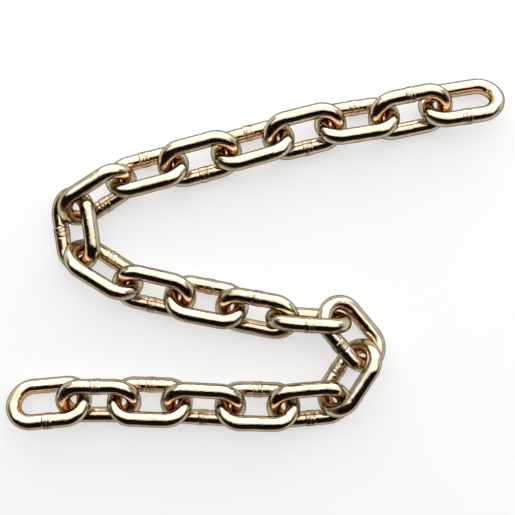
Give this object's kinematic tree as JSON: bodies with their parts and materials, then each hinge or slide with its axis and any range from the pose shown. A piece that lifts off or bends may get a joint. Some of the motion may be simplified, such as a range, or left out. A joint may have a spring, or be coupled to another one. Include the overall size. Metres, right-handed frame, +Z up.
{
  "type": "transport chain",
  "caption": "Length of welded round-bar transport chain with gold yellow-chromate finish, laid in a Z; each link hooks and swings in the next, and the end links are open for hooks.",
  "frame": {"origin": "on the floor, under the middle of the laid chain's box", "axes": "+X along the longer side of the Z, +Y across it towards the end_link_01 end, +Z up"},
  "size_m": [0.3174, 0.2246, 0.034],
  "materials": {
    "yellow_chromate_steel": "zinc plate with yellow chromate, glossy, gold to brown with faint iridescence"
  },
  "bodies": {
    "end_link_01": {"end_link_01": "yellow_chromate_steel"},
    "link_02": {"link_02": "yellow_chromate_steel"},
    "link_03": {"link_03": "yellow_chromate_steel"},
    "link_04": {"link_04": "yellow_chromate_steel"},
    "link_05": {"link_05": "yellow_chromate_steel"},
    "link_06": {"link_06": "yellow_chromate_steel"},
    "link_07": {"link_07": "yellow_chromate_steel"},
    "link_08": {"link_08": "yellow_chromate_steel"},
    "link_09": {"link_09": "yellow_chromate_steel"},
    "link_10": {"link_10": "yellow_chromate_steel"},
    "link_11": {"link_11": "yellow_chromate_steel"},
    "link_12": {"link_12": "yellow_chromate_steel"},
    "link_13": {"link_13": "yellow_chromate_steel"},
    "link_14": {"link_14": "yellow_chromate_steel"},
    "link_15": {"link_15": "yellow_chromate_steel"},
    "link_16": {"link_16": "yellow_chromate_steel"},
    "link_17": {"link_17": "yellow_chromate_steel"},
    "link_18": {"link_18": "yellow_chromate_steel"},
    "link_19": {"link_19": "yellow_chromate_steel"},
    "link_20": {"link_20": "yellow_chromate_steel"},
    "link_21": {"link_21": "yellow_chromate_steel"},
    "end_link_22": {"end_link_22": "yellow_chromate_steel"}
  },
  "joints": [
    {"name": "swing_12", "type": "hinge", "parent": "link_11", "child": "link_12", "pos_m": [-0.04223, -0.02934, 0.01263], "axis": [0.1122, 0.577, 0.809], "range_deg": [-90, 90]},
    {"name": "swing_13", "type": "hinge", "parent": "link_12", "child": "link_13", "pos_m": [-0.00897, -0.03593, 0.01272], "axis": [-0.213, -0.5593, 0.8011], "range_deg": [-90, 90]},
    {"name": "swing_14", "type": "hinge", "parent": "link_13", "child": "link_14", "pos_m": [0.02331, -0.04168, 0.01729], "axis": [0.0687, 0.9824, 0.1736], "range_deg": [-90, 90]},
    {"name": "swing_15", "type": "hinge", "parent": "link_14", "child": "link_15", "pos_m": [0.05521, -0.04302, 0.01226], "axis": [0.4091, 0.2428, 0.8796], "range_deg": [-15, 90]},
    {"name": "swing_16", "type": "hinge", "parent": "link_15", "child": "link_16", "pos_m": [0.06555, -0.07031, 0.01498], "axis": [-0.6518, 0.4233, 0.6293], "range_deg": [-30, 90]},
    {"name": "swing_17", "type": "hinge", "parent": "link_16", "child": "link_17", "pos_m": [0.04552, -0.09569, 0.01131], "axis": [-0.0462, 0.5279, -0.848], "range_deg": [-90, 25]},
    {"name": "swing_18", "type": "hinge", "parent": "link_17", "child": "link_18", "pos_m": [0.01195, -0.09698, 0.01234], "axis": [0.0107, 0.6156, 0.788], "range_deg": [-90, 90]},
    {"name": "swing_19", "type": "hinge", "parent": "link_18", "child": "link_19", "pos_m": [-0.02093, -0.09659, 0.01249], "axis": [0.0308, 0.587, -0.809], "range_deg": [-90, 90]},
    {"name": "swing_20", "type": "hinge", "parent": "link_19", "child": "link_20", "pos_m": [-0.05524, -0.09511, 0.01226], "axis": [-0.02, -0.5732, -0.8192], "range_deg": [-90, 90]},
    {"name": "swing_21", "type": "hinge", "parent": "link_20", "child": "link_21", "pos_m": [-0.08926, -0.09353, 0.01198], "axis": [0, -0.5592, 0.829], "range_deg": [-90, 90]},
    {"name": "swing_22", "type": "hinge", "parent": "link_21", "child": "end_link_22", "pos_m": [-0.12194, -0.09496, 0.01101], "axis": [0.0436, -0.4981, -0.866], "range_deg": [-15, 90]},
    {"name": "swing_10", "type": "hinge", "parent": "link_11", "child": "link_10", "pos_m": [-0.08522, -0.01677, 0.01465], "axis": [0.4176, 0.6683, 0.6157], "range_deg": [-90, 90]},
    {"name": "swing_09", "type": "hinge", "parent": "link_10", "child": "link_09", "pos_m": [-0.11233, 0.00331, 0.01123], "axis": [-0.4951, -0.0696, 0.866], "range_deg": [-30, 90]},
    {"name": "swing_08", "type": "hinge", "parent": "link_09", "child": "link_08", "pos_m": [-0.10733, 0.03249, 0.01643], "axis": [-0.4515, 0.6953, -0.5592], "range_deg": [-90, 80]},
    {"name": "swing_07", "type": "hinge", "parent": "link_08", "child": "link_07", "pos_m": [-0.07989, 0.04778, 0.01329], "axis": [-0.1664, 0.6209, 0.766], "range_deg": [-90, 90]},
    {"name": "swing_06", "type": "hinge", "parent": "link_07", "child": "link_06", "pos_m": [-0.04664, 0.05675, 0.01325], "axis": [-0.1629, 0.6079, -0.7771], "range_deg": [-90, 90]},
    {"name": "swing_05", "type": "hinge", "parent": "link_06", "child": "link_05", "pos_m": [-0.01316, 0.06515, 0.0128], "axis": [0.1772, -0.6179, -0.766], "range_deg": [-90, 90]},
    {"name": "swing_04", "type": "hinge", "parent": "link_05", "child": "link_04", "pos_m": [0.02004, 0.07456, 0.01289], "axis": [0.1456, -0.5839, 0.7986], "range_deg": [-90, 90]},
    {"name": "swing_03", "type": "hinge", "parent": "link_04", "child": "link_03", "pos_m": [0.05325, 0.08215, 0.01239], "axis": [-0.0941, 0.5944, 0.7986], "range_deg": [-90, 90]},
    {"name": "swing_02", "type": "hinge", "parent": "link_03", "child": "link_02", "pos_m": [0.08691, 0.08723, 0.01258], "axis": [-0.128, 0.6022, -0.788], "range_deg": [-90, 90]},
    {"name": "swing_01", "type": "hinge", "parent": "link_02", "child": "end_link_01", "pos_m": [0.12073, 0.09332, 0.01174], "axis": [-0.0852, 0.5379, 0.8387], "range_deg": [-90, 90]}
  ]
}
